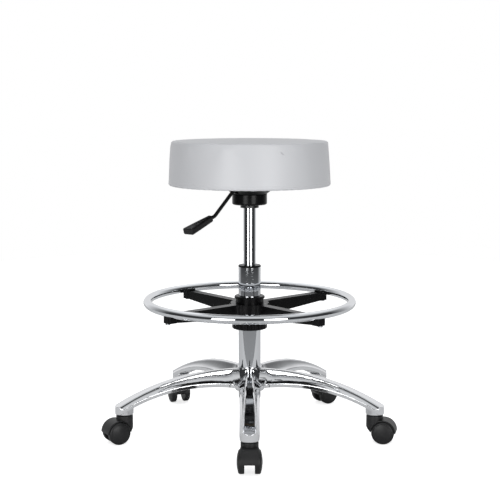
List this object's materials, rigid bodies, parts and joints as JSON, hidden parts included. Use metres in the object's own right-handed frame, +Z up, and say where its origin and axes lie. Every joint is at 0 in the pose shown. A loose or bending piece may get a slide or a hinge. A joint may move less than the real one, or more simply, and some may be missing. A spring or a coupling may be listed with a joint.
{
  "type": "drafting stool",
  "caption": "Backless drafting stool with a round padded seat, gas lift with lever, chrome foot ring, polished star base and twin-wheel casters.",
  "frame": {"origin": "on the floor, on the axis of the column", "axes": "+Z up along the column, -Y towards the front, where the picture was taken from"},
  "size_m": [0.6535, 0.6243, 0.6635],
  "materials": {
    "seat_vinyl": "satin",
    "plywood": "matte",
    "dust_cloth": "matte",
    "black_steel": "satin",
    "black_plastic": "satin",
    "polished_aluminium": "polished",
    "chromed_steel": "polished",
    "plain_steel": "satin",
    "caster_nylon": "matte"
  },
  "bodies": {
    "base": {"star_base": "polished_aluminium", "column_tube": "chromed_steel", "guide_bush": "black_plastic", "lower_washer": "plain_steel", "bearing_cage": "plain_steel"},
    "lift_rod": {"piston_rod": "plain_steel", "piston_head": "plain_steel", "upper_washer": "plain_steel", "rod_clip": "plain_steel"},
    "seat": {"lift_cylinder": "chromed_steel", "rod_guide": "plain_steel", "valve_body": "plain_steel", "taper_socket": "black_steel", "mechanism_cup": "black_plastic", "seat_plate": "black_steel", "lever_pin": "plain_steel", "seat_bolts": "plain_steel", "tee_nuts": "plain_steel", "seat_board": "plywood", "dust_cover": "dust_cloth", "seat_cushion": "seat_vinyl"},
    "lever": {"lever_rod": "black_steel", "lever_grip": "black_plastic"},
    "release": {"release_pin": "plain_steel"},
    "foot_collet": {"clamp_collet": "black_plastic"},
    "foot_rest": {"foot_ring": "chromed_steel", "ring_spider": "black_plastic", "ring_screws": "plain_steel"},
    "ring_nut": {"clamp_nut": "black_plastic"},
    "caster_front": {"caster_hood_front": "caster_nylon", "caster_stem_front": "plain_steel", "caster_grip_front": "plain_steel", "caster_axle_front": "plain_steel"},
    "left_wheel_front": {"wheel_left_front": "caster_nylon"},
    "right_wheel_front": {"wheel_right_front": "caster_nylon"},
    "caster_right": {"caster_hood_right": "caster_nylon", "caster_stem_right": "plain_steel", "caster_grip_right": "plain_steel", "caster_axle_right": "plain_steel"},
    "left_wheel_right": {"wheel_left_right": "caster_nylon"},
    "right_wheel_right": {"wheel_right_right": "caster_nylon"},
    "caster_rear_right": {"caster_hood_rear_right": "caster_nylon", "caster_stem_rear_right": "plain_steel", "caster_grip_rear_right": "plain_steel", "caster_axle_rear_right": "plain_steel"},
    "left_wheel_rear_right": {"wheel_left_rear_right": "caster_nylon"},
    "right_wheel_rear_right": {"wheel_right_rear_right": "caster_nylon"},
    "caster_rear_left": {"caster_hood_rear_left": "caster_nylon", "caster_stem_rear_left": "plain_steel", "caster_grip_rear_left": "plain_steel", "caster_axle_rear_left": "plain_steel"},
    "left_wheel_rear_left": {"wheel_left_rear_left": "caster_nylon"},
    "right_wheel_rear_left": {"wheel_right_rear_left": "caster_nylon"},
    "caster_left": {"caster_hood_left": "caster_nylon", "caster_stem_left": "plain_steel", "caster_grip_left": "plain_steel", "caster_axle_left": "plain_steel"},
    "left_wheel_left": {"wheel_left_left": "caster_nylon"},
    "right_wheel_left": {"wheel_right_left": "caster_nylon"}
  },
  "joints": [
    {"name": "seat_swivel", "type": "hinge", "parent": "base", "child": "lift_rod", "pos_m": [0, 0, 0.0856], "axis": [0, 0, 1], "continuous": true},
    {"name": "seat_lift", "type": "slide", "parent": "lift_rod", "child": "seat", "axis": [0, 0, 1], "range_m": [-0.1, 0.137]},
    {"name": "lever_tilt", "type": "hinge", "parent": "seat", "child": "lever", "pos_m": [-0.018, -0.02145, 0.555], "axis": [-0.766, 0.6428, 0], "range_deg": [0, 5], "stiffness_Nm_per_rad": 3, "springref_deg": -2.86},
    {"name": "release_press", "type": "slide", "parent": "seat", "child": "release", "axis": [0, 0, -1], "range_m": [0, 0.0026]},
    {"name": "foot_ring_slide", "type": "slide", "parent": "base", "child": "foot_collet", "axis": [0, 0, 1], "range_m": [-0.075, 0.045]},
    {"name": "foot_ring_turn", "type": "hinge", "parent": "foot_collet", "child": "foot_rest", "pos_m": [0, 0, 0.28], "axis": [0, 0, 1], "continuous": true},
    {"name": "clamp_nut_turn", "type": "hinge", "parent": "foot_collet", "child": "ring_nut", "pos_m": [0, 0, 0.253], "axis": [0, 0, 1], "range_deg": [-45, 180]},
    {"name": "caster_swivel_front", "type": "hinge", "parent": "base", "child": "caster_front", "pos_m": [0, -0.29, 0.074], "axis": [0, 0, 1], "continuous": true},
    {"name": "wheel_spin_left_front", "type": "hinge", "parent": "caster_front", "child": "left_wheel_front", "pos_m": [0, -0.31, 0.025], "axis": [1, 0, 0], "continuous": true},
    {"name": "wheel_spin_right_front", "type": "hinge", "parent": "caster_front", "child": "right_wheel_front", "pos_m": [0, -0.31, 0.025], "axis": [1, 0, 0], "continuous": true},
    {"name": "caster_swivel_right", "type": "hinge", "parent": "base", "child": "caster_right", "pos_m": [0.27581, -0.08962, 0.074], "axis": [0, 0, 1], "continuous": true},
    {"name": "wheel_spin_left_right", "type": "hinge", "parent": "caster_right", "child": "left_wheel_right", "pos_m": [0.29529, -0.09411, 0.025], "axis": [0.225, 0.9744, 0], "continuous": true},
    {"name": "wheel_spin_right_right", "type": "hinge", "parent": "caster_right", "child": "right_wheel_right", "pos_m": [0.29529, -0.09411, 0.025], "axis": [0.225, 0.9744, 0], "continuous": true},
    {"name": "caster_swivel_rear_right", "type": "hinge", "parent": "base", "child": "caster_rear_right", "pos_m": [0.17046, 0.23461, 0.074], "axis": [0, 0, 1], "continuous": true},
    {"name": "wheel_spin_left_rear_right", "type": "hinge", "parent": "caster_rear_right", "child": "left_wheel_rear_right", "pos_m": [0.18742, 0.24521, 0.025], "axis": [-0.5299, 0.848, 0], "continuous": true},
    {"name": "wheel_spin_right_rear_right", "type": "hinge", "parent": "caster_rear_right", "child": "right_wheel_rear_right", "pos_m": [0.18742, 0.24521, 0.025], "axis": [-0.5299, 0.848, 0], "continuous": true},
    {"name": "caster_swivel_rear_left", "type": "hinge", "parent": "base", "child": "caster_rear_left", "pos_m": [-0.17046, 0.23461, 0.074], "axis": [0, 0, 1], "continuous": true},
    {"name": "wheel_spin_left_rear_left", "type": "hinge", "parent": "caster_rear_left", "child": "left_wheel_rear_left", "pos_m": [-0.1773, 0.25341, 0.025], "axis": [-0.9397, -0.342, 0], "continuous": true},
    {"name": "wheel_spin_right_rear_left", "type": "hinge", "parent": "caster_rear_left", "child": "right_wheel_rear_left", "pos_m": [-0.1773, 0.25341, 0.025], "axis": [-0.9397, -0.342, 0], "continuous": true},
    {"name": "caster_swivel_left", "type": "hinge", "parent": "base", "child": "caster_left", "pos_m": [-0.27581, -0.08962, 0.074], "axis": [0, 0, 1], "continuous": true},
    {"name": "wheel_spin_left_left", "type": "hinge", "parent": "caster_left", "child": "left_wheel_left", "pos_m": [-0.29313, -0.09961, 0.025], "axis": [0.5, -0.866, 0], "continuous": true},
    {"name": "wheel_spin_right_left", "type": "hinge", "parent": "caster_left", "child": "right_wheel_left", "pos_m": [-0.29313, -0.09961, 0.025], "axis": [0.5, -0.866, 0], "continuous": true}
  ],
  "couplings": [
    {"joint": "release_press", "follows": "lever_tilt", "m_per_rad": 0.028}
  ]
}
